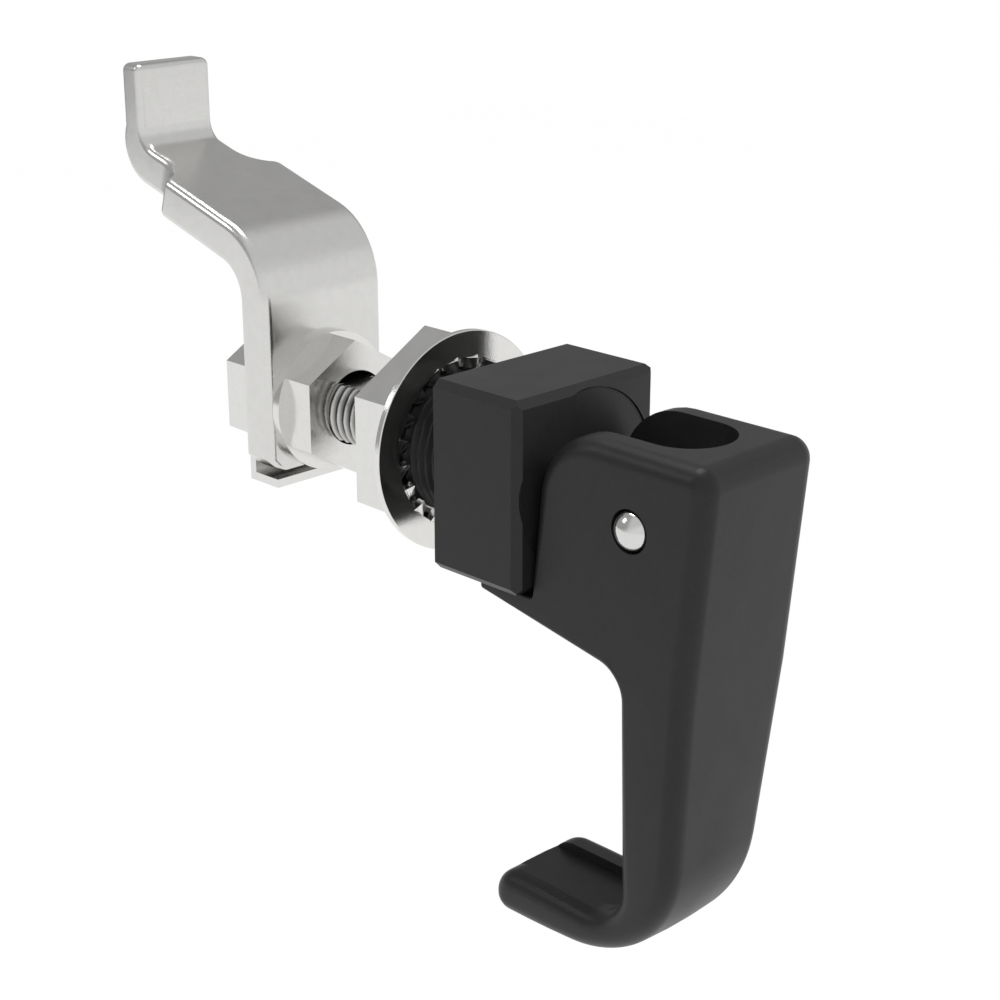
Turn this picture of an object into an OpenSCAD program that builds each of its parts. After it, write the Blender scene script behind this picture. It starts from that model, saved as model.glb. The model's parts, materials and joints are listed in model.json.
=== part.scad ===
// Lift-and-turn compression latch with a hooked lever handle and an offset pawl.
// All sizes are millimetres. The shaft axis is Y and points into the cabinet.
// The origin is on the shaft axis in the plane of the panel's outer face.
// X is to the right and Z is up when the closed latch is seen from outside.

/* [Housing block] */
// Width and height of the square block
block_w = 27; // [22:0.5:40]
// Depth of the block in front of the panel
block_d = 15.7; // [12:0.1:24]
// Chamfer along the front and the long edges of the block
block_chamfer = 1.1; // [0.4:0.1:2]
// Outside diameter of the threaded bushing behind the block
bushing_d = 20.6; // [18:0.1:24]
// Length of the bushing behind the block
bushing_len = 17; // [12:0.5:24]
// Diameter of the round recess in the front of the block
recess_d = 25.5; // [20:0.1:26]
// Depth of the round recess
recess_depth = 4.4; // [2:0.1:7]
// Diameter of the bore for the rotor's sleeve
housing_bore_d = 16; // [13:0.1:18]

/* [Mounting hardware] */
// Distance from the block to the lock washer, where the panel goes
panel_gap = 8.4; // [2:0.1:12]
// Outside diameter of the lock washer
lock_d = 32; // [26:0.5:38]
// Diameter inside the ring of the lock washer, at the roots of the teeth
lock_root_d = 24.4; // [22:0.1:28]
// Thickness of the lock washer
lock_t = 1.0; // [0.6:0.1:1.6]
// Number of twisted teeth
lock_teeth = 20; // [8:1:24]
// Width of one tooth
tooth_w = 2.2; // [1:0.1:4]
// Twist of one tooth out of the ring's plane, degrees
tooth_twist = 28; // [5:1:40]
// Room left between the teeth and the bushing
tooth_clear = 0.25; // [0.1:0.05:1]
// Width across flats of the mounting nut
mount_nut_af = 26.8; // [24:0.1:32]
// Thickness of the mounting nut
mount_nut_t = 6.2; // [4:0.1:9]
// Room left between the teeth and the mounting nut
tooth_room = 0.05; // [0.02:0.01:0.5]
// Room left between the mounting nut and the bushing, on the radius
nut_room = 0.08; // [0.02:0.01:0.2]

/* [Rotor] */
// Radial running clearance of the disc in the front recess
disc_run = 0.1; // [0.02:0.01:0.1]
// Thickness of the disc
disc_t = 4; // [2:0.1:6]
// Distance from the disc's face to the front of the block
disc_inset = 0.25; // [0:0.05:1]
// Radial running clearance of the rotor's sleeve in the housing
rotor_run = 0.05; // [0.02:0.01:0.1]

/* [Shaft] */
// Thread diameter of the shaft
shaft_d = 11.3; // [10:0.1:14]
// Distance across the two flats of the shaft
shaft_flats = 8.5; // [7:0.1:10]
// Distance from the panel plane to the end of the shaft
shaft_end = 53.5; // [50:0.5:60]
// Radial sliding clearance of the shaft in the rotor
slide_clear = 0.08; // [0.02:0.01:0.1]
// Chamfer at the end of the shaft
shaft_chamfer = 1; // [0.3:0.1:1.5]

/* [Pivot pin] */
// Distance from the front of the block to the pin's axis
pivot_reach = 17.17; // [14:0.05:24]
// Diameter of the pin
pin_d = 5.8; // [4:0.1:8]
// Length of the pin between its domed ends
pin_len = 21.6; // [18:0.1:24]
// Height of each domed end
pin_dome = 1.1; // [0.3:0.1:2]
// Radial room of the pin in the shaft's cross bore
pin_room = 0.02; // [0.01:0.01:0.1]
// Radial running clearance of the pin in the lever
pin_run = 0.06; // [0.02:0.01:0.1]

/* [Lever] */
// Width of the lever at the head
lever_w = 22; // [16:0.5:26]
// Height of the flat top above the pin
head_top = 10.46; // [9:0.01:14]
// Distance from the pin to the head's back face
head_back = 16.72; // [13:0.01:22]
// Radius of the cam corner between the top and the back face
cam_r = 10.4; // [6:0.1:14]
// Radius of the corner between the top and the front face
top_r = 3.0; // [2.8:0.05:6]
// Distance from the pin to the front face at the pin's height
front_reach = 11.67; // [9:0.01:16]
// Lean of the front face, millimetres per millimetre of height
front_lean = 0.092; // [0:0.001:0.2]
// Radius round the edges of both sides of the lever
edge_r = 2.65; // [1.5:0.05:2.7]
// Distance from the pin to the inner face halfway down the arm
arm_inner = 1.98; // [0:0.01:5]
// Lean of the inner face, millimetres per millimetre of height
inner_lean = 0.047; // [0:0.001:0.1]
// Narrowing of each side of the arm, millimetres per millimetre of height
taper = 0.055; // [0:0.001:0.08]
// Distance from the pin down to the bottom of the hook under the pin
hook_bottom = 65.4; // [50:0.1:75]
// Slope of the hook's bottom face
hook_slope = 0.03; // [0:0.001:0.15]
// Distance from the pin down to the top of the hook
hook_top = 59.2; // [45:0.1:70]
// Distance from the pin to the hook's tip
hook_reach = 27.0; // [18:0.1:30]
// Radius of the tip's lower corner
tip_low_r = 2.8; // [2.7:0.1:3]
// Radius of the tip's upper corner
tip_high_r = 4; // [2.7:0.1:4]
// Outside radius of the bend between arm and hook
bend_outer = 21; // [8:0.1:24]
// Inside radius of the bend between arm and hook
bend_inner = 6.5; // [3:0.1:10]
// Depth of the recess in the hook
grip_depth = 1.5; // [0.5:0.1:3]
// Width of the recess in the hook
grip_w = 9.0; // [6:0.1:14]
// Radius at the arm's end of the recess
grip_end_r = 4; // [1:0.1:8]
// Distance that the recess runs into the bend
grip_start = 1; // [0:0.1:5]

/* [Heel] */
// Length of the heel under the block
heel_len = 9.4; // [5:0.1:12]
// Distance between the heel and the bottom of the block
heel_gap = 0.35; // [0.3:0.05:1]
// Height of the underside below the pin at the pin
under_low = 20.39; // [17:0.01:24]
// Slope of the underside
under_slope = 0.201; // [0.1:0.001:0.3]
// Radius along the edges of the underside
under_r = 1.0; // [0.5:0.1:1.5]
// Radius along the edges of the thin end of the heel
heel_edge_r = 0.3; // [0.1:0.05:0.35]
// Radius of the corners of the heel
heel_corner_r = 0.5; // [0.4:0.05:0.55]
// Radius of the inner corner between underside and arm
crotch_r = 4.5; // [2:0.1:8]

/* [Lever slot] */
// Width of the slot for the shaft
slot_w = 12.8; // [12.6:0.1:15]

/* [Pawl] */
// Distance from the panel plane to the front nut of the pawl
nut_front = 31.36; // [25:0.01:40]
// Width across flats of the two pawl nuts
nut_af = 18; // [16:0.5:20]
// Thickness of each pawl nut
nut_t = 5.3; // [4:0.1:7]
// Bore of the pawl nuts at the crests of their thread
nut_bore_d = 11.4; // [10:0.01:13]
// Outside diameter of the pawl washer
washer_d = 21.3; // [18:0.1:26]
// Thickness of the pawl washer
washer_t = 1.4; // [0.8:0.1:2]
// Bore of the pawl washer
washer_bore_d = 12; // [11.4:0.1:14]
// Width of the pawl
pawl_w = 22.5; // [18:0.1:28]
// Thickness of the pawl
pawl_t = 6.3; // [4:0.05:8]
// Distance from the shaft axis to the bottom of the pawl
pawl_bottom = 9.95; // [8:0.05:14]
// Chamfer of the two bottom corners
pawl_corner = 2.4; // [1:0.1:4]
// Height where the front face would meet the sloping face
pawl_knee = 24.9; // [15:0.1:40]
// Outside radius of the knee
knee_r = 12; // [7:0.1:18]
// Rise of the sloping part, degrees
pawl_rise = 16.7; // [0:0.1:40]
// Distance from the panel plane to the front face of the lip
lip_front = 72.8; // [60:0.1:85]
// Height of the lip's top above the shaft axis
lip_top = 47.3; // [35:0.1:60]
// Thickness of the lip
lip_t = 4.7; // [4:0.1:8]
// Width of the lip
lip_w = 13.9; // [8:0.1:20]
// Inside radius in front of the lip
lip_inner_r = 3.3; // [1:0.1:8]
// Extra thickness in the middle of the bend under the lip
lip_full = 0.8; // [0:0.1:1.5]
// Distance from the panel plane to the start of the narrow part
neck_start = 60.7; // [55:0.1:70]
// Radius of the two rounds where the pawl starts to narrow
neck_round = 0.9; // [0.3:0.1:3]
// Radius of the two hollows where the pawl narrows
neck_r = 6.3; // [3:0.1:12]
// Radius along all edges of the pawl
pawl_edge_r = 1.2; // [0.5:0.1:2]

/* [Stop plate] */
// Thickness of the bent plate behind the pawl
plate_t = 1.3; // [0.8:0.05:2]
// Width of the plate
plate_w = 18.6; // [14:0.1:24]
// Height of the plate above the shaft axis
plate_top = 9.3; // [7:0.1:14]
// Distance from the shaft axis to the underside of the flange
plate_low = 12.4; // [11:0.1:16]
// Reach of the flange in front of the plate
flange_len = 5.2; // [2:0.1:7]
// Radial clearance of pawl and plate on the shaft
key_clear = 0.1; // [0.05:0.01:0.3]

/* [Hidden] */

// Steps round one corner of a section
corner_steps = 6;
// Degrees of one step round the corners of the lever's outline
outline_step = 9;
// Steps round the rounded edges of the lever
edge_steps = 6;
// Height between the middle of the arm and each end of its leaning inner face
lean_reach = 20;
// Y and Z of a point inside the head and heel that sees their whole outline
core = [5, -17];
// Steps round each bend of the pawl
knee_steps = 14;
// Steps along the rounds and along the hollows where the pawl narrows
round_steps = 3;
neck_steps = 8;
// Room kept between the last section of the narrowing and the bend under the lip
neck_margin = 0.15;
// Facet count of bores, pins and other true circles
circle_fn = 96;
// Overlap that keeps unions whole and cuts clean
eps = 0.01;
// Length that reaches past the whole latch
far = 200;

pin_y = -block_d - pivot_reach;
block_half = block_w / 2;
lock_front = panel_gap;
tooth_rise = tooth_w / 2 * sin(tooth_twist) - lock_t / 2 * (1 - cos(tooth_twist));
mount_nut_front = lock_front + lock_t + tooth_rise + tooth_room;
washer_front = nut_front + nut_t;
pawl_front = washer_front + washer_t;
plate_front = pawl_front + pawl_t;
rear_nut_front = plate_front + plate_t;
half_w = lever_w / 2;
heel_top = -block_half - heel_gap;
slot_r = slot_w / 2;
disc_d = recess_d - 2 * disc_run;
sleeve_d = housing_bore_d - 2 * rotor_run;
lean_angle = atan(front_lean);

// Stands a profile drawn in Y and Z upright and gives it a width in X, centred.
module across(width) {
  rotate([90, 0, 90])
    translate([0, 0, -width / 2])
      linear_extrude(height = width)
        children();
}

// A cylinder along Y from y0 to y1.
module along_y(y0, y1, d) {
  translate([0, y0, 0])
    rotate([-90, 0, 0])
      cylinder(h = y1 - y0, d = d, $fn = circle_fn);
}

// A cylinder along X, centred.
module along_x(len, d) {
  rotate([0, 90, 0])
    cylinder(h = len, d = d, center = true, $fn = circle_fn);
}

// The shaft's section with its two flats, from y0 to y1.
module flatted(y0, y1, d, flats) {
  intersection() {
    along_y(y0, y1, d);
    translate([-d, y0, -flats / 2])
      cube([2 * d, y1 - y0, flats]);
  }
}

// A hexagon nut with a corner at the top, from y0 to y1.
module hex_nut(y0, af, t, bore_d) {
  difference() {
    translate([0, y0, 0])
      rotate([-90, 90, 0])
        cylinder(h = t, d = af / cos(30), $fn = 6);
    along_y(y0 - eps, y0 + t + eps, bore_d);
  }
}

// A square with cut corners.
module cut_square(w, c) {
  polygon([[-w / 2 + c, -w / 2], [w / 2 - c, -w / 2], [w / 2, -w / 2 + c], [w / 2, w / 2 - c],
           [w / 2 - c, w / 2], [-w / 2 + c, w / 2], [-w / 2, w / 2 - c], [-w / 2, -w / 2 + c]]);
}

// Side outline of the block with its front chamfers.
module block_side() {
  polygon([[-block_d + block_chamfer, -block_half], [0, -block_half], [0, block_half],
           [-block_d + block_chamfer, block_half], [-block_d, block_half - block_chamfer],
           [-block_d, -block_half + block_chamfer]]);
}

module housing() {
  color("#262626")
    difference() {
      union() {
        intersection() {
          rotate([90, 0, 0])
            linear_extrude(height = block_d)
              cut_square(block_w, block_chamfer);
          across(block_w)
            block_side();
          rotate([0, 90, 0])
            across(block_w)
              block_side();
        }
        along_y(-eps, bushing_len, bushing_d);
      }
      along_y(-block_d - eps, -block_d + recess_depth, recess_d);
      along_y(-block_d, bushing_len + eps, housing_bore_d);
    }
}

module rotor() {
  color("#2e2e2e")
    difference() {
      union() {
        along_y(-block_d + disc_inset, -block_d + disc_inset + disc_t, disc_d);
        along_y(-block_d + disc_inset + disc_t - eps, bushing_len, sleeve_d);
      }
      flatted(-block_d - eps, bushing_len + eps, shaft_d + 2 * slide_clear, shaft_flats + 2 * slide_clear);
    }
}

// One tooth of the lock washer, twisted about its own radius.
module tooth() {
  root = lock_root_d / 2 + lock_t;
  rotate([0, tooth_twist, 0])
    translate([-tooth_w / 2, 0, -lock_t / 2])
      cube([tooth_w, root, lock_t]);
}

module lock_washer() {
  color("#c9c9c7")
    translate([0, lock_front, 0])
      rotate([-90, 0, 0])
        difference() {
          union() {
            difference() {
              cylinder(h = lock_t, d = lock_d, $fn = circle_fn);
              translate([0, 0, -eps])
                cylinder(h = lock_t + 2 * eps, d = lock_root_d, $fn = circle_fn);
            }
            for (i = [0 : lock_teeth - 1])
              rotate([0, 0, (i + 0.5) * 360 / lock_teeth])
                translate([0, 0, lock_t / 2])
                  tooth();
          }
          translate([0, 0, -lock_t])
            cylinder(h = 4 * lock_t, d = bushing_d + 2 * tooth_clear, $fn = circle_fn);
        }
}

module mounting_nut() {
  color("#cfcfcd")
    hex_nut(mount_nut_front, mount_nut_af, mount_nut_t, bushing_d + 2 * nut_room);
}

module shaft() {
  color("#c6c6c4")
    difference() {
      intersection() {
        union() {
          along_y(pin_y, shaft_end - shaft_chamfer, shaft_d);
          translate([0, shaft_end - shaft_chamfer, 0])
            rotate([-90, 0, 0])
              cylinder(h = shaft_chamfer, d1 = shaft_d, d2 = shaft_d - 2 * shaft_chamfer, $fn = circle_fn);
          translate([0, pin_y, 0])
            sphere(d = shaft_d, $fn = circle_fn);
        }
        translate([-shaft_d, -far, -shaft_flats / 2])
          cube([2 * shaft_d, 2 * far, shaft_flats]);
      }
      translate([0, pin_y, 0])
        along_x(2 * shaft_d, pin_d + 2 * pin_room);
    }
}

// Half of the pin's lengthwise section: a straight side and a dome.
module half_pin() {
  r = pin_d / 2;
  dome_r = (r * r + pin_dome * pin_dome) / (2 * pin_dome);
  square([r, pin_len / 2]);
  intersection() {
    translate([0, pin_len / 2 - eps])
      square([r, pin_dome + 2 * eps]);
    translate([0, pin_len / 2 + pin_dome - dome_r])
      circle(r = dome_r, $fn = circle_fn);
  }
}

module pivot_pin() {
  color("#d6d6d4")
    translate([0, pin_y, 0])
      rotate([0, 90, 0]) {
        rotate_extrude($fn = circle_fn)
          half_pin();
        mirror([0, 0, 1])
          rotate_extrude($fn = circle_fn)
            half_pin();
      }
}

// Points of a rounded rectangle: half width w in X, from t0 to t1 in the second direction,
// with the radius r0 at t0 and r1 at t1.
function rounded(w, t0, t1, r0, r1) =
  let (c = [[w - r1, t1 - r1, r1], [-w + r1, t1 - r1, r1], [-w + r0, t0 + r0, r0], [w - r0, t0 + r0, r0]])
  [for (q = [0 : 3]) for (k = [0 : corner_steps]) let (a = 90 * q + 90 * k / corner_steps)
    [c[q][0] + c[q][2] * cos(a), c[q][1] + c[q][2] * sin(a)]];

// Sets a section upright: p is its inner point in Y and Z, d the direction to the outer side.
function upright(pts, p, d) = [for (q = pts) [q[0], p[0] + q[1] * d[0], p[1] + q[1] * d[1]]];

// Section between an inner and an outer point, rounded by r0 and r1, set in by e on every side.
function section(inner, outer, w, r0, r1, e) =
  let (v = outer - inner, len = norm(v))
  upright(rounded(w - e, e, len - e, r0 - e, r1 - e), inner, v / len);

// Closed solid through a list of sections that have the same number of points.
// The faces of an end are lists of point numbers; -1 is the centre point of that end.
module skin(sections, ends, centres = []) {
  n = len(sections[0]);
  m = len(sections);
  points = concat([for (s = sections) for (p = s) p], centres);
  sides = [for (i = [0 : m - 2]) for (j = [0 : n - 1]) let (k = (j + 1) % n, a = i * n, b = a + n)
    each [[a + j, b + j, a + k], [a + k, b + j, b + k]]];
  first = [for (f = ends) [for (i = f) i < 0 ? n * m : i]];
  last = [for (f = ends) [for (j = [len(f) - 1 : -1 : 0]) f[j] < 0 ? n * m + 1 : (m - 1) * n + f[j]]];
  polyhedron(points = points, faces = concat(first, sides, last), convexity = 10);
}

// Set-in of an edge rounded by r, at the angle a round it from the end face.
function ease(r, a) = [r * (1 - cos(a)), r * (1 - sin(a))];

// Angles at which a rounded end is cut into sections.
end_angles = [12, 30, 48, 66, 84];

// Y of the front face and of the inner face at the height z, and Z of underside and hook at y.
function front_y(z) = -front_reach - front_lean * z;
function under_z(y) = -under_low + under_slope * y;
function hook_low(y) = -hook_bottom - hook_slope * y;

// Corners of the lever's side outline in Y and Z about the pin, anticlockwise:
// each with its radius and with the radius of the side edges there.
heel_tip = pivot_reach + heel_len;
arm_low_y = arm_inner + inner_lean * lean_reach;
arm_high_y = arm_inner - inner_lean * lean_reach;
bottom_z = (hook_slope * front_reach - hook_bottom) / (1 - front_lean * hook_slope);
corners = [
  [front_y(bottom_z), bottom_z, bend_outer, edge_r],
  [hook_reach, hook_low(hook_reach), tip_low_r, edge_r],
  [hook_reach, -hook_top, tip_high_r, edge_r],
  [arm_low_y, -hook_top, bend_inner, edge_r],
  [arm_high_y, under_z(arm_high_y), crotch_r, under_r],
  [heel_tip, under_z(heel_tip), heel_corner_r, heel_edge_r],
  [heel_tip, heel_top, heel_corner_r, heel_edge_r],
  [head_back, heel_top, heel_corner_r, heel_edge_r],
  [head_back, head_top, cam_r, edge_r],
  [front_y(head_top), head_top, top_r, edge_r]
];

// Rounded corner b between a and c: points as [y, z, outward y, outward z, edge radius].
function corner_arc(a, b, c) =
  let (pa = [a[0], a[1]], pb = [b[0], b[1]], pc = [c[0], c[1]], r = b[2],
       u = (pa - pb) / norm(pa - pb), v = (pc - pb) / norm(pc - pb),
       n0 = [-u[1], u[0]], n1 = [v[1], -v[0]],
       turn = atan2(n0[0] * n1[1] - n0[1] * n1[0], n0 * n1),
       centre = pb + (u + v) / norm(u + v) * r / sin(acos(u * v) / 2),
       start = atan2(n0[1], n0[0]), steps = 2 * ceil(abs(turn) / outline_step / 2))
  [for (k = [0 : steps]) let (a = start + turn * k / steps, q = centre + sign(turn) * r * [cos(a), sin(a)])
    [q[0], q[1], cos(a), sin(a), b[3]]];

// The whole side outline. Its arm gets narrower below the middle of the corner under the head.
arcs = [for (i = [0 : len(corners) - 1])
  corner_arc(corners[(i + len(corners) - 1) % len(corners)], corners[i], corners[(i + 1) % len(corners)])];
crotch_first = len(arcs[0]) + len(arcs[1]) + len(arcs[2]) + len(arcs[3]);
narrow_point = crotch_first + (len(arcs[4]) - 1) / 2;
crotch_mid = arcs[4][(len(arcs[4]) - 1) / 2];
narrow_z = crotch_mid[1] - crotch_mid[4] * crotch_mid[3];
front_z = narrow_z - edge_r * sin(lean_angle);
outline = concat([for (arc = arcs) each arc],
  [[front_y(front_z), front_z, -cos(lean_angle), -sin(lean_angle), edge_r]]);

// Half width of the lever at the height z.
function side_x(z) = z > narrow_z ? half_w : half_w - taper * (narrow_z - z);

// Ring of points round the lever on one side, at the angle a round its rounded edge.
function ring(side, a) = [for (q = outline)
  let (in = q[4] * (1 - cos(a)), z = q[1] - in * q[3])
  [side * (side_x(z) - q[4] * (1 - sin(a))), q[0] - in * q[2], z]];

// Triangles between two chains of point numbers that run side by side, anticlockwise.
function zip(p, q, i = 0, j = 0) =
  i + 1 >= len(p) && j + 1 >= len(q) ? [] :
  j + 1 >= len(q) || (i + 1 < len(p) && (i + 1) * (len(q) - 1) <= (j + 1) * (len(p) - 1)) ?
    concat([[p[i], p[i + 1], q[j]]], zip(p, q, i + 1, j)) :
  concat([[p[i], q[j + 1], q[j]]], zip(p, q, i, j + 1));

// Faces of one side of the lever: arm and hook between their outer and inner outline, head round its core.
outline_n = len(outline);
tip_first = len(arcs[0]);
bend_first = tip_first + len(arcs[1]) + len(arcs[2]);
side_faces = concat(
  zip([outline_n - 1], [for (i = [narrow_point : -1 : crotch_first]) i]),
  zip([outline_n - 1, 0], [crotch_first, crotch_first - 1]),
  zip([for (i = [0 : tip_first - 1]) i], [for (i = [crotch_first - 1 : -1 : bend_first]) i]),
  zip([tip_first - 1, tip_first], [bend_first, bend_first - 1]),
  [for (i = [tip_first : bend_first - 3]) [bend_first - 1, i, i + 1]],
  [for (i = [narrow_point : outline_n - 2]) [-1, i, i + 1]],
  [[-1, outline_n - 1, narrow_point]]);

// Lever without its openings.
module lever_body() {
  left = [for (k = [edge_steps : -1 : 0]) ring(-1, 90 * k / edge_steps)];
  right = [for (k = [0 : edge_steps]) ring(1, 90 * k / edge_steps)];
  skin(concat(left, right), side_faces, [for (side = [-1, 1]) [side * half_w, core[0], core[1]]]);
}

// Slot through which the shaft passes while the lever swings up.
module shaft_slot() {
  sphere(r = slot_r, $fn = circle_fn);
  along_y(0, far, slot_w);
  cylinder(h = far, d = slot_w, $fn = circle_fn);
  translate([-slot_r, 0, 0])
    cube([slot_w, far, far]);
}

// Recess along the hook between two side lips, drawn in Y and Z.
module grip_outline() {
  y0 = arm_low_y + bend_inner - grip_start;
  z0 = -hook_top - grip_depth;
  y1 = hook_reach + edge_r;
  roof = z0 + bend_inner + grip_depth;
  difference() {
    translate([y0 - grip_end_r, z0])
      square([y1 - y0 + grip_end_r, roof - z0]);
    difference() {
      translate([y0 - 2 * grip_end_r, z0 - grip_end_r])
        square([2 * grip_end_r, 2 * grip_end_r]);
      translate([y0, z0 + grip_end_r])
        circle(r = grip_end_r, $fn = circle_fn);
    }
  }
}

module lever() {
  color("#2a2a2a")
    translate([0, pin_y, 0])
      difference() {
        lever_body();
        shaft_slot();
        along_x(2 * lever_w, pin_d + 2 * pin_run);
        across(grip_w)
          grip_outline();
      }
}

module front_nut() {
  color("#cfcfcd")
    hex_nut(nut_front, nut_af, nut_t, nut_bore_d);
}

module rear_nut() {
  color("#cfcfcd")
    hex_nut(rear_nut_front, nut_af, nut_t, nut_bore_d);
}

module pawl_washer() {
  color("#c4c4c2")
    difference() {
      along_y(washer_front, washer_front + washer_t, washer_d);
      along_y(washer_front - eps, washer_front + washer_t + eps, washer_bore_d);
    }
}

// Unit vectors along the sloping part and at right angles to it, in Y and Z.
rise_dir = [cos(pawl_rise), sin(pawl_rise)];
rise_up = [-sin(pawl_rise), cos(pawl_rise)];
bend_turn = 90 - pawl_rise;

// Centre of the knee and of the bend under the lip.
knee_c = [pawl_front + knee_r, pawl_knee - knee_r * tan(bend_turn / 2)];
slope_front = [pawl_front, pawl_knee];
knee_end = slope_front + knee_r * tan(bend_turn / 2) * rise_dir;
lip_foot = slope_front + rise_dir * (lip_front - pawl_front) / cos(pawl_rise);
lip_c = [lip_front - lip_inner_r, lip_foot[1] + lip_inner_r * tan(bend_turn / 2)];

// Half width of the pawl at the distance y from the panel plane: a round, then a hollow.
neck_angle = acos(1 - (pawl_w - lip_w) / 2 / (neck_round + neck_r));
round_end = neck_start + neck_round * sin(neck_angle);
neck_end = neck_start + (neck_round + neck_r) * sin(neck_angle);
function pawl_half(y) =
  y < neck_start ? pawl_w / 2 :
  y < round_end ? pawl_w / 2 - neck_round + sqrt(pow(neck_round, 2) - pow(y - neck_start, 2)) :
  y < neck_end ? lip_w / 2 + neck_r - sqrt(pow(neck_r, 2) - pow(neck_end - y, 2)) :
  lip_w / 2;

// Distances from the panel plane of the sections along the narrowing.
neck_rows = concat(
  [for (k = [0 : round_steps]) neck_start + neck_round * sin(neck_angle * k / round_steps)],
  [for (k = [1 : neck_steps]) neck_end - neck_r * sin(neck_angle * (1 - k / neck_steps))]);

// Section of the pawl with its outer face through p and its thickness t along d.
function pawl_section(p, d, t, w, e) = section(p, p + t * d, w, pawl_edge_r, pawl_edge_r, e);

// Half width of the plate at the height h above its bottom.
function bottom_half(h) = pawl_w / 2 - max(0, pawl_corner - h);

plate_sections = concat(
  [for (k = [0 : 4]) let (e = ease(pawl_edge_r, end_angles[k]))
    pawl_section([pawl_front, -pawl_bottom + e[0]], [1, 0], pawl_t, bottom_half(e[0]), e[1])],
  [for (h = [pawl_corner, pawl_corner + 1, pawl_bottom + knee_c[1] - 1])
    pawl_section([pawl_front, -pawl_bottom + h], [1, 0], pawl_t, bottom_half(h), 0)]);
knee_sections =
  [for (k = [0 : knee_steps]) let (a = bend_turn * k / knee_steps, d = [cos(a), -sin(a)])
    pawl_section(knee_c - knee_r * d, d, pawl_t, pawl_w / 2, 0)];
lip_start_y = lip_foot[0] - lip_inner_r * tan(bend_turn / 2) * rise_dir[0];
slope_sections =
  [for (y = neck_rows) if (y < lip_start_y - neck_margin)
    let (p = slope_front + rise_dir * (y - pawl_front) / cos(pawl_rise))
    pawl_section(p, -rise_up, pawl_t, pawl_half(y), 0)];
lip_sections = concat(
  [for (k = [0 : knee_steps])
    let (f = k / knee_steps, a = bend_turn * (1 - f), d = [cos(a), -sin(a)], p = lip_c + lip_inner_r * d)
    pawl_section(p, d, pawl_t + (lip_t - pawl_t) * f + lip_full * sin(180 * f), pawl_half(p[0]), 0)],
  [for (k = [4 : -1 : 0]) let (e = ease(pawl_edge_r, end_angles[k]))
    pawl_section([lip_front, lip_top - e[0]], [1, 0], lip_t, lip_w / 2, e[1])]);
pawl_sections = concat(plate_sections, knee_sections, slope_sections, lip_sections);

module pawl() {
  color("#d2d2cf")
    difference() {
      skin(pawl_sections, [[for (j = [0 : len(pawl_sections[0]) - 1]) j]]);
      flatted(0, far / 2, shaft_d + 2 * key_clear, shaft_flats + 2 * key_clear);
    }
}

module stop_plate() {
  color("#cbcbc9")
    difference() {
      union() {
        translate([-plate_w / 2, plate_front, -plate_low])
          cube([plate_w, plate_t, plate_low + plate_top]);
        translate([-plate_w / 2, plate_front - flange_len, -plate_low])
          cube([plate_w, flange_len + plate_t, plate_t]);
      }
      flatted(0, far / 2, shaft_d + 2 * key_clear, shaft_flats + 2 * key_clear);
    }
}

housing();
rotor();
lock_washer();
mounting_nut();
shaft();
pivot_pin();
lever();
front_nut();
pawl_washer();
pawl();
stop_plate();
rear_nut();
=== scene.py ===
"""Looks of the compression latch: threads, moulded and plated surfaces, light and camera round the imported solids."""
import json
import math

import bmesh
import bpy
import numpy as np
from mathutils import Matrix, Vector


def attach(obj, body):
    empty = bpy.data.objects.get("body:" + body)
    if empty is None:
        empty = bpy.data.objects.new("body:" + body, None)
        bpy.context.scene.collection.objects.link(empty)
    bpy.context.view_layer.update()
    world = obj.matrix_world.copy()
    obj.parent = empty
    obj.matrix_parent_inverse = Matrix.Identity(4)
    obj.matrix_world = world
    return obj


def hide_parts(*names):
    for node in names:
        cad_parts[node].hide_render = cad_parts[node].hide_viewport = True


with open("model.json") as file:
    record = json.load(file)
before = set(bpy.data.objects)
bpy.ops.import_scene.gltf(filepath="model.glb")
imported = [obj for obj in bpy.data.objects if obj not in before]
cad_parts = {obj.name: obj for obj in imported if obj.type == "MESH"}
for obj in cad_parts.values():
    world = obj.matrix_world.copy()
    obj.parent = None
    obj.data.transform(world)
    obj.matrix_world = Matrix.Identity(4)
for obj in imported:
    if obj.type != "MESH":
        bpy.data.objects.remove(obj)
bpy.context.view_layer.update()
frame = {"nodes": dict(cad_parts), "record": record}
MM = 0.001

# Sizes that the threads share with the solids, in millimetres
SHAFT_R = 5.65
SHAFT_FLAT = 4.25
SHAFT_END = 53.5
SHAFT_CHAMFER = 1.0
SHAFT_PLAIN = 12.0
SHAFT_PITCH = 1.5
SHAFT_THREAD_DEPTH = 0.72
BUSHING_R = 10.3
BUSHING_BORE_R = 8.0
BUSHING_END = 17.0
BUSHING_PITCH = 1.5
BUSHING_THREAD_DEPTH = 0.8

# Where each thread's grooves begin, the length over which they reach their depth, and how finely they are cut
SHAFT_THREAD_START = 18.0
SHAFT_RUN_IN = 1.5
SHAFT_ROWS_PER_TURN = 16
BUSHING_THREAD_START = 0.8
BUSHING_RUN_IN = 1.2
BUSHING_ROWS_PER_TURN = 14
BUSHING_BEVEL = 1.0
BUSHING_BEVEL_SLOPE = 0.8
THREAD_COLUMNS = 192

# A groove's section: how steep its flanks are, and how much of its top is cut off flat
GROOVE_STEEPNESS = 1.3
GROOVE_CUT = 0.15

# Sizes of the pivot pin and the lock washer, in millimetres and degrees
PIN_Y = -32.87
PIN_R = 2.9
PIN_TIP = 12.3
PIN_DOME = 2.6
PIN_DOME_ROWS = 15
PIN_COLUMNS = 64
PIN_SMOOTH_ANGLE = 50.0
WASHER_Y = 8.4
WASHER_T = 1.0
WASHER_R = 16.0
WASHER_ROOT_R = 12.2
WASHER_BEVEL = 0.12
WASHER_COLUMNS = 160
WASHER_SMOOTH_ANGLE = 30.0

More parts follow.
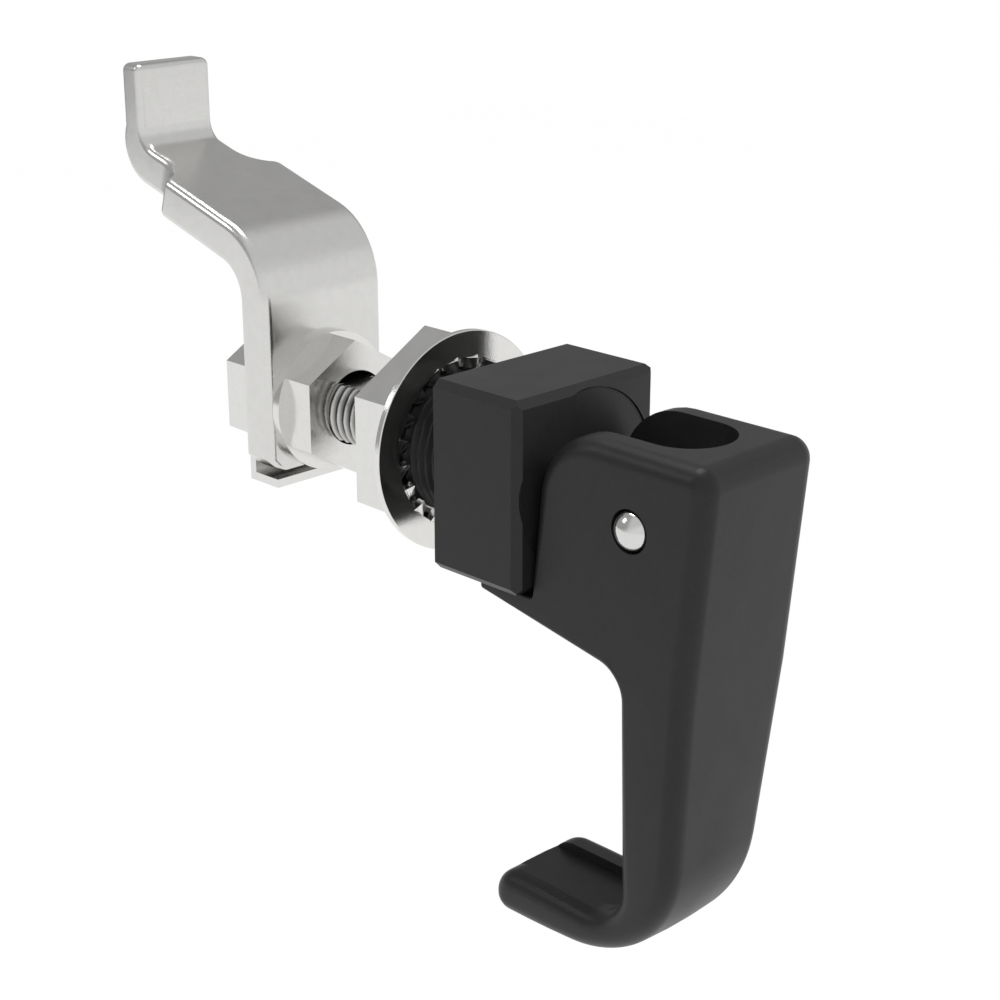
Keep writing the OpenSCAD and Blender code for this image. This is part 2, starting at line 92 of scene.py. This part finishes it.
# Teeth of the lock washer: their share of taper, how far they reach into the ring and lie below its two faces
TEETH = 20
TOOTH_TIP_R = 10.56
TOOTH_W = 2.2
TOOTH_TAPER = 0.12
TOOTH_TWIST = 28.0
TOOTH_EASE = 0.8
TOOTH_LAP = 0.3
TOOTH_SINK = 0.02
TOOTH_ROWS = 9

# Lever and pawl: edges below this angle are shaded smooth, and below this height the lever's corners are cut finer
MOULDED_ANGLE = 32.0
LEVER_FINER_BELOW = -35.0


def grid_faces(rows, columns):
    """Quads of a grid that closes on itself along its columns: corner (i, j) joins (i, j+1), (i+1, j+1), (i+1, j)."""
    i = np.arange(rows - 1)[:, None] * columns
    j = np.arange(columns)[None, :]
    k = (j + 1) % columns
    return np.stack([i + j, i + k, i + columns + k, i + columns + j], axis=-1).reshape(-1, 4)


def halved(quads):
    """Every quad as two triangles."""
    return np.concatenate([quads[:, [0, 1, 2]], quads[:, [0, 2, 3]]])


def add_piece(name, points, faces, smooth_angle=35.0, even=False):
    """Mesh from arrays, with doubled points merged, faces turned outwards and edges above the angle kept sharp.

    Where even is true, a modifier weighs the normals by area, so that flat faces stay flat beside their fillets.
    """
    mesh = bpy.data.meshes.new(name)
    mesh.from_pydata(points.tolist(), [], faces.tolist())
    work = bmesh.new()
    work.from_mesh(mesh)
    bmesh.ops.remove_doubles(work, verts=work.verts, dist=1e-7)
    bmesh.ops.dissolve_degenerate(work, edges=work.edges, dist=1e-8)
    bmesh.ops.recalc_face_normals(work, faces=work.faces)
    work.to_mesh(mesh)
    work.free()
    mesh.shade_smooth()
    mesh.set_sharp_from_angle(angle=math.radians(smooth_angle))
    obj = bpy.data.objects.new(name, mesh)
    bpy.context.scene.collection.objects.link(obj)
    if even:
        flat = obj.modifiers.new("flat_faces_stay_flat", "WEIGHTED_NORMAL")
        flat.weight = 80
        flat.keep_sharp = True
    return obj


def turned(profile, columns):
    """Surface turned about Y: point (i, j) is (r_ij cos a_j, y_i, r_ij sin a_j), a_j even steps of a full turn.

    profile is a function of the array of angles that gives y and r for every row.
    """
    a = np.linspace(0, 2 * np.pi, columns, endpoint=False)
    y, r = profile(a)
    return np.stack([r * np.cos(a), np.broadcast_to(y, r.shape), r * np.sin(a)], axis=-1), len(y)


def thread_wave(y, a, pitch):
    """Depth of the groove from 0 to 1: a clipped triangle of the phase y / pitch - a / full turn."""
    phase = (y / pitch - a / (2 * np.pi)) % 1.0
    return np.clip(GROOVE_STEEPNESS * (1 - np.abs(2 * phase - 1)) - GROOVE_CUT, 0, 1)


def shaft_rows(a):
    """Shaft behind the rotor's front: radius R less the groove, never beyond the two flats, chamfered at the end.

    r(y, a) = min(R - D wave(y, a), R - max(0, y - (E - c)), F / |sin a|), with a flat cap at both ends.
    """
    y = np.arange(SHAFT_PLAIN, SHAFT_END - 1e-6, SHAFT_PITCH / SHAFT_ROWS_PER_TURN)
    y = np.append(y, SHAFT_END)[:, None]
    run_in = np.clip((y - SHAFT_THREAD_START) / SHAFT_RUN_IN, 0, 1)
    r = SHAFT_R - SHAFT_THREAD_DEPTH * run_in * thread_wave(y, a, SHAFT_PITCH)
    r = np.minimum(r, SHAFT_R - np.maximum(0, y - (SHAFT_END - SHAFT_CHAMFER)))
    r = np.minimum(r, SHAFT_FLAT / np.maximum(np.abs(np.sin(a)), 1e-6))
    y = np.concatenate([y[:1], y, y[-1:]])
    r = np.concatenate([np.zeros_like(r[:1]), r, np.zeros_like(r[:1])])
    return y, r


def bushing_rows(a):
    """Bushing behind the block: outer radius R less the groove, then round the end and back along the bore.

    r(y, a) = min(R - D wave(y, a), R - slope max(0, y - (E - bevel))), and the bore is a plain circle.
    """
    y = np.append(np.arange(0, BUSHING_END - 1e-6, BUSHING_PITCH / BUSHING_ROWS_PER_TURN), BUSHING_END)[:, None]
    run_in = np.clip((y - BUSHING_THREAD_START) / BUSHING_RUN_IN, 0, 1)
    r = BUSHING_R - BUSHING_THREAD_DEPTH * run_in * thread_wave(y, a, BUSHING_PITCH)
    r = np.minimum(r, BUSHING_R - BUSHING_BEVEL_SLOPE * np.maximum(0, y - (BUSHING_END - BUSHING_BEVEL)))
    bore = np.full_like(r[:1], BUSHING_BORE_R)
    y = np.concatenate([y, y[-1:], y[:1], y[:1]])
    r = np.concatenate([r, bore, bore, r[:1]])
    return y, r


def kept_part(node, plane_y):
    """Points and faces of a node's merged copy in front of the plane at plane_y, with the cut closed."""
    work = bmesh.new()
    work.from_mesh(frame["nodes"][node].data)
    bmesh.ops.remove_doubles(work, verts=work.verts, dist=1e-7)
    cut = bmesh.ops.bisect_plane(work, geom=work.verts[:] + work.edges[:] + work.faces[:], dist=1e-7,
                                 plane_co=(0, plane_y * MM, 0), plane_no=(0, 1, 0), clear_outer=True)
    edges = [e for e in cut["geom_cut"] if isinstance(e, bmesh.types.BMEdge)]
    bmesh.ops.triangle_fill(work, edges=edges, use_beauty=True)
    bmesh.ops.triangulate(work, faces=work.faces)
    work.verts.index_update()
    points = np.array([v.co[:] for v in work.verts])
    faces = np.array([[v.index for v in f.verts] for f in work.faces])
    work.free()
    return points, faces


def stand_in(piece, node):
    """Puts a finished piece in the place of a node, on its body and with its finish."""
    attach(piece, node_body[node])
    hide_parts(node)
    piece.data.materials.append(FINISHES[slot_of[node]])
    return piece


def with_thread(name, node, plane_y, rows):
    """The node's own front part, with the turned and threaded part behind the plane put in one piece with it."""
    points, faces = kept_part(node, plane_y)
    grid, count = turned(rows, THREAD_COLUMNS)
    triangles = halved(grid_faces(count, THREAD_COLUMNS))
    both = np.concatenate([points, grid.reshape(-1, 3) * MM])
    return stand_in(add_piece(name, both, np.concatenate([faces, triangles + len(points)])), node)


def rounder(points, faces, below):
    """Cuts the rounded faces below a height finer, each new point lifted onto the curve that the normals give.

    Edges that touch a sharp corner keep their line, and no point leaves the box of the old ones.
    """
    mesh = bpy.data.meshes.new("work")
    mesh.from_pydata(points.tolist(), [], faces.tolist())
    work = bmesh.new()
    work.from_mesh(mesh)
    bmesh.ops.remove_doubles(work, verts=work.verts, dist=1e-7)
    bmesh.ops.recalc_face_normals(work, faces=work.faces)
    work.normal_update()
    sharp = {v for e in work.edges if e.calc_face_angle(0.0) > math.radians(MOULDED_ANGLE) for v in e.verts}
    chosen = [e for e in work.edges if max(v.co.z for v in e.verts) < below and not sharp.intersection(e.verts)]
    bmesh.ops.subdivide_edges(work, edges=chosen, cuts=2, smooth=1.0, smooth_falloff="LINEAR", use_grid_fill=True)
    bmesh.ops.triangulate(work, faces=work.faces)
    work.verts.index_update()
    finer = np.clip(np.array([v.co[:] for v in work.verts]), points.min(axis=0), points.max(axis=0))
    faces = np.array([[v.index for v in f.verts] for f in work.faces])
    work.free()
    bpy.data.meshes.remove(mesh)
    return finer, faces


def smooth_copy(name, node, finer_below=None):
    """The node's own form in one closed skin, shaded smooth over its rounded edges."""
    mesh = frame["nodes"][node].data
    points = np.empty(3 * len(mesh.vertices))
    mesh.vertices.foreach_get("co", points)
    corners = np.empty(len(mesh.loops), dtype=np.int64)
    mesh.loops.foreach_get("vertex_index", corners)
    points, faces = points.reshape(-1, 3), corners.reshape(-1, 3)
    if finer_below is not None:
        points, faces = rounder(points, faces, finer_below * MM)
    return stand_in(add_piece(name, points, faces, MOULDED_ANGLE, even=True), node)


def pin_rows(a):
    """Pin with domed ends: radius R along the straight part, then R sqrt(1 - t^2) over each dome, t from 0 to 1."""
    t = np.sin(np.linspace(0, np.pi / 2, PIN_DOME_ROWS))
    dome = np.sqrt(np.clip(1 - t ** 2, 0, 1))
    x = np.concatenate([-PIN_TIP + PIN_DOME * (1 - t[::-1]), PIN_TIP - PIN_DOME * (1 - t)])
    r = PIN_R * np.concatenate([dome[::-1], dome])
    return x[:, None], r[:, None] * np.ones_like(a)


def domed_pin():
    """The pin turned about its own axis: the surface about Y laid along X at the pin's place."""
    grid, count = turned(pin_rows, PIN_COLUMNS)
    quads = grid_faces(count, PIN_COLUMNS)
    points = grid.reshape(-1, 3)[:, [1, 0, 2]] + np.array([0, PIN_Y, 0])
    return stand_in(add_piece("pin_domed", points * MM, quads, PIN_SMOOTH_ANGLE), "pivot_pin")


def toothed_washer():
    """Lock washer: a flat ring, and teeth whose section turns from flat at the ring to the full twist at the tip.

    A tooth's point is (u radial, v across, w thick): v and w are turned about the radius by twist * s, where s is
    the share of the tooth's length to the power of its ease, and the tooth is then turned to its place in the ring.
    """
    a = np.linspace(0, 2 * np.pi, WASHER_COLUMNS, endpoint=False)
    half = WASHER_T / 2
    b = WASHER_BEVEL
    ring_r = np.array([WASHER_R - b, WASHER_R, WASHER_R, WASHER_R - b, WASHER_ROOT_R, WASHER_ROOT_R, WASHER_R - b])
    ring_y = np.array([-half, -half + b, half - b, half, half, -half, -half])
    ring = np.stack([ring_r[:, None] * np.cos(a), ring_y[:, None] + 0 * a, ring_r[:, None] * np.sin(a)], axis=-1)
    points = [ring.reshape(-1, 3)]
    faces = [halved(grid_faces(len(ring_r), len(a)))]
    count = len(points[0])
    u = np.linspace(WASHER_ROOT_R + TOOTH_LAP, TOOTH_TIP_R, TOOTH_ROWS)
    s = np.clip((u - u[0]) / (u[-1] - u[0]), 0, 1) ** TOOTH_EASE
    twist = math.radians(TOOTH_TWIST) * s
    width = TOOTH_W / 2 * (1 - TOOTH_TAPER * s)
    v = np.stack([width, width, -width, -width], axis=1)
    w = (half - TOOTH_SINK) * np.array([-1, 1, 1, -1])[None, :] * np.ones_like(v)
    across = v * np.cos(twist)[:, None] - w * np.sin(twist)[:, None]
    thick = v * np.sin(twist)[:, None] + w * np.cos(twist)[:, None]
    radial = u[:, None] * np.ones_like(v)
    middle = [np.stack([radial[k].mean() * np.ones(4), 0 * v[k], 0 * v[k]], axis=-1) for k in (0, -1)]
    tooth = np.stack([radial, across, thick], axis=-1)
    tooth = np.concatenate([middle[0][None], tooth, middle[1][None]])
    triangles = halved(grid_faces(len(tooth), 4))
    flat = tooth.reshape(-1, 3)
    for k in range(TEETH):
        turn = (k + 0.5) * 2 * math.pi / TEETH
        c, d = math.cos(turn), math.sin(turn)
        x, z = flat[:, 0] * c - flat[:, 1] * d, flat[:, 0] * d + flat[:, 1] * c
        points.append(np.stack([x, flat[:, 2], z], axis=-1))
        faces.append(triangles + count)
        count += len(flat)
    points = np.concatenate(points) + np.array([0, WASHER_Y + half, 0])
    piece = add_piece("washer_toothed", points * MM, np.concatenate(faces), WASHER_SMOOTH_ANGLE)
    return stand_in(piece, "lock_washer")


# Shared effects

def join(tree, *pairs):
    """Links each pair of an output and an input."""
    for start, end in pairs:
        tree.links.new(start, end)


def math_node(tree, operation, value=None):
    """Math node with the given operation and, where it is given, second value."""
    node = tree.nodes.new("ShaderNodeMath")
    node.operation = operation
    if value is not None:
        node.inputs[1].default_value = value
    return node


def map_range(tree, from_min, from_max, to_min=0.0, to_max=1.0):
    """Map Range node between two pairs of limits."""
    node = tree.nodes.new("ShaderNodeMapRange")
    for label, value in (("From Min", from_min), ("From Max", from_max), ("To Min", to_min), ("To Max", to_max)):
        node.inputs[label].default_value = value
    return node


def placed_group(tree, group, **values):
    """Group node in a material, with values for its inputs: an underscore in a name stands for a space."""
    node = tree.nodes.new("ShaderNodeGroup")
    node.node_tree = group
    for label, value in values.items():
        node.inputs[label.replace("_", " ")].default_value = value
    return node


def principled(tree):
    """The material's own Principled shader."""
    return next(n for n in tree.nodes if n.type == "BSDF_PRINCIPLED")


def new_group(name, inputs, outputs):
    """Empty node group with the named inputs (name, kind, value) and outputs (name, kind)."""
    tree = bpy.data.node_groups.new(name, "ShaderNodeTree")
    for label, kind, value in inputs:
        socket = tree.interface.new_socket(label, in_out="INPUT", socket_type=kind)
        if value is not None:
            socket.default_value = value
    for label, kind in outputs:
        tree.interface.new_socket(label, in_out="OUTPUT", socket_type=kind)
    return tree, tree.nodes.new("NodeGroupInput"), tree.nodes.new("NodeGroupOutput")


def grain_group():
    """Fine pits and specks: a high and a low noise added, put out as a height and as a mask."""
    tree, given, out = new_group(
        "surface_grain",
        [("Vector", "NodeSocketVector", None), ("Scale", "NodeSocketFloat", 4000.0),
         ("Coarse Share", "NodeSocketFloat", 0.3)],
        [("Height", "NodeSocketFloat"), ("Mask", "NodeSocketFloat")])
    fine = tree.nodes.new("ShaderNodeTexNoise")
    fine.inputs["Detail"].default_value = 2.0
    coarse = tree.nodes.new("ShaderNodeTexNoise")
    coarse.inputs["Detail"].default_value = 3.0
    wide = math_node(tree, "MULTIPLY", 0.12)
    mix = tree.nodes.new("ShaderNodeMix")
    spread = map_range(tree, 0.35, 0.65)
    join(tree,
         (given.outputs["Vector"], fine.inputs["Vector"]), (given.outputs["Vector"], coarse.inputs["Vector"]),
         (given.outputs["Scale"], fine.inputs["Scale"]), (given.outputs["Scale"], wide.inputs[0]),
         (wide.outputs[0], coarse.inputs["Scale"]), (given.outputs["Coarse Share"], mix.inputs["Factor"]),
         (fine.outputs["Fac"], mix.inputs["A"]), (coarse.outputs["Fac"], mix.inputs["B"]),
         (mix.outputs["Result"], out.inputs["Height"]), (mix.outputs["Result"], spread.inputs["Value"]),
         (spread.outputs["Result"], out.inputs["Mask"]))
    return tree


def cloud_group():
    """Slow cloudy change between a low and a high value."""
    tree, given, out = new_group(
        "cloudy_value",
        [("Vector", "NodeSocketVector", None), ("Scale", "NodeSocketFloat", 150.0), ("Low", "NodeSocketFloat", 0.3),
         ("High", "NodeSocketFloat", 0.5)],
        [("Value", "NodeSocketFloat")])
    noise = tree.nodes.new("ShaderNodeTexNoise")
    noise.inputs["Detail"].default_value = 4.0
    spread = map_range(tree, 0.3, 0.7)
    join(tree,
         (given.outputs["Vector"], noise.inputs["Vector"]), (given.outputs["Scale"], noise.inputs["Scale"]),
         (noise.outputs["Fac"], spread.inputs["Value"]), (given.outputs["Low"], spread.inputs["To Min"]),
         (given.outputs["High"], spread.inputs["To Max"]), (spread.outputs["Result"], out.inputs["Value"]))
    return tree


def groove_shade_group():
    """Mask of painted shade in a thread's grooves: 1 at the root radius, 0 at the crest, measured from the Y axis.

    It is 0 on the flats and inside the core radius, so that the end face stays bright.
    """
    tree, given, out = new_group(
        "thread_groove_shade",
        [("Vector", "NodeSocketVector", None), ("Root", "NodeSocketFloat", 0.005), ("Crest", "NodeSocketFloat", 0.0056),
         ("Flat", "NodeSocketFloat", 0.0042), ("Core", "NodeSocketFloat", 0.0048)],
        [("Mask", "NodeSocketFloat")])
    parts = tree.nodes.new("ShaderNodeSeparateXYZ")
    round_part = tree.nodes.new("ShaderNodeCombineXYZ")
    radius = tree.nodes.new("ShaderNodeVectorMath")
    radius.operation = "LENGTH"
    depth = map_range(tree, 0.0, 1.0, 1.0, 0.0)
    height = math_node(tree, "ABSOLUTE")
    beside = math_node(tree, "LESS_THAN")
    both = math_node(tree, "MULTIPLY")
    outside = math_node(tree, "GREATER_THAN")
    rim = math_node(tree, "MULTIPLY")
    join(tree,
         (given.outputs["Vector"], parts.inputs[0]), (parts.outputs["X"], round_part.inputs["X"]),
         (parts.outputs["Z"], round_part.inputs["Z"]), (round_part.outputs[0], radius.inputs[0]),
         (radius.outputs["Value"], depth.inputs["Value"]), (given.outputs["Root"], depth.inputs["From Min"]),
         (given.outputs["Crest"], depth.inputs["From Max"]), (parts.outputs["Z"], height.inputs[0]),
         (height.outputs[0], beside.inputs[0]), (given.outputs["Flat"], beside.inputs[1]),
         (depth.outputs["Result"], both.inputs[0]), (beside.outputs[0], both.inputs[1]),
         (radius.outputs["Value"], outside.inputs[0]), (given.outputs["Core"], outside.inputs[1]),
         (both.outputs[0], rim.inputs[0]), (outside.outputs[0], rim.inputs[1]), (rim.outputs[0], out.inputs["Mask"]))
    return tree


GRAIN = grain_group()
CLOUD = cloud_group()
GROOVE_SHADE_GROUP = groove_shade_group()


def finish(name, dark, light, rough, grain_scale, grain_share, bump_strength, bump_height, cloud_scale, metallic,
           specular):
    """Material from the shared groups: colour between dark and light, roughness between two values, grain as bump."""
    material = bpy.data.materials.new(name)
    material.use_nodes = True
    tree = material.node_tree
    shader = principled(tree)
    place = tree.nodes.new("ShaderNodeTexCoord").outputs["Object"]
    grain = placed_group(tree, GRAIN, Scale=grain_scale, Coarse_Share=grain_share)
    cloud = placed_group(tree, CLOUD, Scale=cloud_scale, Low=rough[0], High=rough[1])
    tone = tree.nodes.new("ShaderNodeMix")
    tone.data_type = "RGBA"
    tone.inputs[6].default_value = (*dark, 1)
    tone.inputs[7].default_value = (*light, 1)
    bump = tree.nodes.new("ShaderNodeBump")
    bump.inputs["Strength"].default_value = bump_strength
    bump.inputs["Distance"].default_value = bump_height * MM
    join(tree,
         (place, grain.inputs["Vector"]), (place, cloud.inputs["Vector"]),
         (grain.outputs["Mask"], tone.inputs[0]), (tone.outputs[2], shader.inputs["Base Color"]),
         (cloud.outputs["Value"], shader.inputs["Roughness"]), (grain.outputs["Height"], bump.inputs["Height"]),
         (bump.outputs["Normal"], shader.inputs["Normal"]))
    shader.inputs["Metallic"].default_value = metallic
    shader.inputs["Specular IOR Level"].default_value = specular
    return material


def plastic(name, dark, light, rough):
    """Black moulded plastic with a fine spark-eroded grain."""
    return finish(name, dark, light, rough, grain_scale=5200.0, grain_share=0.25, bump_strength=0.15,
                  bump_height=0.03, cloud_scale=160.0, metallic=0.0, specular=0.27)


def plated(name, dark, light, rough, bump=0.9):
    """Zinc-plated or cast steel with fine specks in its gloss."""
    return finish(name, dark, light, rough, grain_scale=5600.0, grain_share=0.35, bump_strength=bump,
                  bump_height=0.02, cloud_scale=220.0, metallic=1.0, specular=0.5)


def paint_groove_shade(material, core, root, crest, flat, colour):
    """Paints shade into the grooves of a thread: the colour falls towards the given dark one there."""
    tree = material.node_tree
    shader = principled(tree)
    base = shader.inputs["Base Color"].links[0].from_socket
    grooves = placed_group(tree, GROOVE_SHADE_GROUP, Root=root * MM, Crest=crest * MM, Flat=flat * MM, Core=core * MM)
    tone = tree.nodes.new("ShaderNodeMix")
    tone.data_type = "RGBA"
    tone.inputs[7].default_value = (*colour, 1)
    place = tree.nodes.new("ShaderNodeTexCoord").outputs["Object"]
    join(tree,
         (place, grooves.inputs["Vector"]), (grooves.outputs["Mask"], tone.inputs[0]), (base, tone.inputs[6]),
         (tone.outputs[2], shader.inputs["Base Color"]))


# Each finish: its darker and lighter colour, and its lowest and highest roughness
FINISHES = {
    "black_body": plastic("black_body", (0.015, 0.015, 0.0152), (0.021, 0.021, 0.0212), (0.38, 0.43)),
    "black_rotor": plastic("black_rotor", (0.015, 0.015, 0.0153), (0.021, 0.021, 0.0213), (0.36, 0.42)),
    "black_lever": plastic("black_lever", (0.014, 0.014, 0.0142), (0.02, 0.02, 0.0202), (0.37, 0.42)),
    "washer_steel": plated("washer_steel", (0.72, 0.71, 0.69), (0.76, 0.755, 0.74), (0.10, 0.15)),
    "nut_steel": plated("nut_steel", (0.70, 0.695, 0.68), (0.75, 0.745, 0.73), (0.14, 0.20)),
    # Thread steel is darker than the other steels: painted dark reflection of the black parts round it
    "thread_steel": plated("thread_steel", (0.50, 0.495, 0.48), (0.58, 0.575, 0.56), (0.20, 0.26)),
    "pin_steel": plated("pin_steel", (0.66, 0.66, 0.65), (0.70, 0.70, 0.69), (0.12, 0.16), bump=0.1),
    "cast_steel": plated("cast_steel", (0.66, 0.655, 0.64), (0.71, 0.705, 0.69), (0.18, 0.24)),
    "sheet_steel": plated("sheet_steel", (0.70, 0.695, 0.68), (0.75, 0.745, 0.73), (0.14, 0.18)),
}

# Painted shade: the shaft thread's grooves darkened to near black
paint_groove_shade(FINISHES["thread_steel"], core=SHAFT_R - 0.8, root=SHAFT_R - 0.6, crest=SHAFT_R - 0.1,
               flat=SHAFT_FLAT - 0.03, colour=(0.03, 0.03, 0.029))

slot_of = {s["node"]: s["material_slot"] for s in frame["record"]["subparts"]}
node_body = {n: body for body, nodes in frame["record"]["behaviour"]["bodies"].items() for n in nodes}
for name, obj in frame["nodes"].items():
    obj.data.materials.clear()
    obj.data.materials.append(FINISHES[slot_of[name]])

with_thread("shaft_threaded", "shaft", SHAFT_PLAIN, shaft_rows)
with_thread("housing_threaded", "housing", 0.0, bushing_rows)
domed_pin()
toothed_washer()
smooth_copy("lever_moulded", "lever", finer_below=LEVER_FINER_BELOW)
smooth_copy("pawl_cast", "pawl")

# Floor, seen white, with the object's shadow still on it
FLOOR_COLOUR = 0.84
FLOOR_SIDE = 1.7
FLOOR_Z = -0.12
FLOOR_SEEN_WHITE = 0.985
bpy.ops.mesh.primitive_plane_add(size=FLOOR_SIDE, location=(0, 0, FLOOR_Z))
floor = bpy.context.object
floor.name = "floor"
white = bpy.data.materials.new("floor_white")
white.use_nodes = True
tree = white.node_tree
shader = principled(tree)
shader.inputs["Base Color"].default_value = (FLOOR_COLOUR, FLOOR_COLOUR, FLOOR_COLOUR, 1)
shader.inputs["Roughness"].default_value = 0.9
shader.inputs["Specular IOR Level"].default_value = 0.1
glow = tree.nodes.new("ShaderNodeEmission")
glow.inputs["Strength"].default_value = 1.0
seen = tree.nodes.new("ShaderNodeLightPath")
either = math_node(tree, "MAXIMUM")
share = math_node(tree, "MULTIPLY", FLOOR_SEEN_WHITE)
blend = tree.nodes.new("ShaderNodeMixShader")
last = next(n for n in tree.nodes if n.type == "OUTPUT_MATERIAL")
join(tree,
     (seen.outputs["Is Camera Ray"], either.inputs[0]), (seen.outputs["Is Glossy Ray"], either.inputs[1]),
     (either.outputs[0], share.inputs[0]), (share.outputs[0], blend.inputs[0]),
     (shader.outputs[0], blend.inputs[1]), (glow.outputs[0], blend.inputs[2]),
     (blend.outputs[0], last.inputs["Surface"]))
floor.data.materials.append(white)

# World: white to the camera, a soft studio dome to everything else, brightest near the floor, darkest at the back
DOME_LOW, DOME_FRONT, DOME_BACK = 0.88, 0.70, 0.41
world = bpy.data.worlds.new("studio")
bpy.context.scene.world = world
world.use_nodes = True
tree = world.node_tree
tree.nodes.clear()
out = tree.nodes.new("ShaderNodeOutputWorld")
dome = tree.nodes.new("ShaderNodeBackground")
dome.inputs["Strength"].default_value = 1.0
plain = tree.nodes.new("ShaderNodeBackground")
plain.inputs["Color"].default_value = (1, 1, 1, 1)
plain.inputs["Strength"].default_value = 1.0
direction = tree.nodes.new("ShaderNodeTexCoord")
split = tree.nodes.new("ShaderNodeSeparateXYZ")
front_to_back = map_range(tree, 0.02, 0.34, DOME_FRONT, DOME_BACK)
low_to_high = map_range(tree, -0.1, 0.4)
low_to_high.interpolation_type = "SMOOTHSTEP"
tilt = math_node(tree, "MULTIPLY_ADD", 0.5)
sky = tree.nodes.new("ShaderNodeMix")
sky.inputs["A"].default_value = DOME_LOW
seen = tree.nodes.new("ShaderNodeLightPath")
blend = tree.nodes.new("ShaderNodeMixShader")
join(tree,
     (direction.outputs["Generated"], split.inputs[0]), (split.outputs["Y"], tilt.inputs[0]),
     (split.outputs["Z"], tilt.inputs[2]), (tilt.outputs[0], low_to_high.inputs["Value"]),
     (split.outputs["Y"], front_to_back.inputs["Value"]), (low_to_high.outputs["Result"], sky.inputs["Factor"]),
     (front_to_back.outputs["Result"], sky.inputs["B"]), (sky.outputs["Result"], dome.inputs["Color"]),
     (seen.outputs["Is Camera Ray"], blend.inputs[0]), (dome.outputs[0], blend.inputs[1]),
     (plain.outputs[0], blend.inputs[2]), (blend.outputs[0], out.inputs["Surface"]))


def soft_box(name, place, aim, side, power, mirrored=True):
    """Square studio lamp at place, turned towards aim, seen in gloss only where mirrored."""
    lamp = bpy.data.lights.new(name, "AREA")
    lamp.energy = power
    lamp.shape = "SQUARE"
    lamp.size = side
    obj = bpy.data.objects.new(name, lamp)
    bpy.context.scene.collection.objects.link(obj)
    obj.location = place
    obj.visible_glossy = mirrored
    obj.rotation_mode = "QUATERNION"
    obj.rotation_quaternion = (Vector(aim) - Vector(place)).to_track_quat("-Z", "Y")


# The key box lights the fronts, the top box the tops, and the small edge box the rounded edges at the upper left
soft_box("key_box", place=(0.68, -0.46, 0.2), aim=(0, -0.02, -0.01), side=0.45, power=3.8, mirrored=False)
soft_box("top_box", place=(0.04, 0.25, 0.83), aim=(0, 0.02, 0), side=0.4, power=2.8)
soft_box("edge_box", place=(-0.5, 0.52, 0.45), aim=(0, 0.02, 0), side=0.24, power=0.55)

# Camera solved from the photograph's straight edges, with a block 28 wide: its steps are scaled to the real 27 mm
AZIMUTH, ELEVATION = math.radians(-44.835), math.radians(19.561)
CAMERA_SCALE = 27.0 / 28.0 * MM
CAMERA_RIGHT, CAMERA_UP, CAMERA_BACK = -12.169, -2.778, 279.985
CAMERA_TARGET_Y = -15.7
SENSOR_WIDTH = 36.0
LENS_BY_SENSOR = 2.01435
back = Vector((math.sin(AZIMUTH) * math.cos(ELEVATION), -math.cos(AZIMUTH) * math.cos(ELEVATION), math.sin(ELEVATION)))
right = Vector((0, 0, 1)).cross(back).normalized()
up = back.cross(right)
eye = Vector((0, CAMERA_TARGET_Y * MM, 0))
eye += (CAMERA_RIGHT * right + CAMERA_UP * up + CAMERA_BACK * back) * CAMERA_SCALE
camera = bpy.data.objects.new("camera", bpy.data.cameras.new("camera"))
bpy.context.scene.collection.objects.link(camera)
camera.matrix_world = Matrix.Translation(eye) @ Matrix((right, up, back)).transposed().to_4x4()
camera.data.sensor_width = SENSOR_WIDTH
camera.data.lens = SENSOR_WIDTH * LENS_BY_SENSOR
camera.data.clip_start = 0.01
camera.data.clip_end = 50
bpy.context.scene.camera = camera
bpy.context.scene.view_settings.view_transform = "Standard"
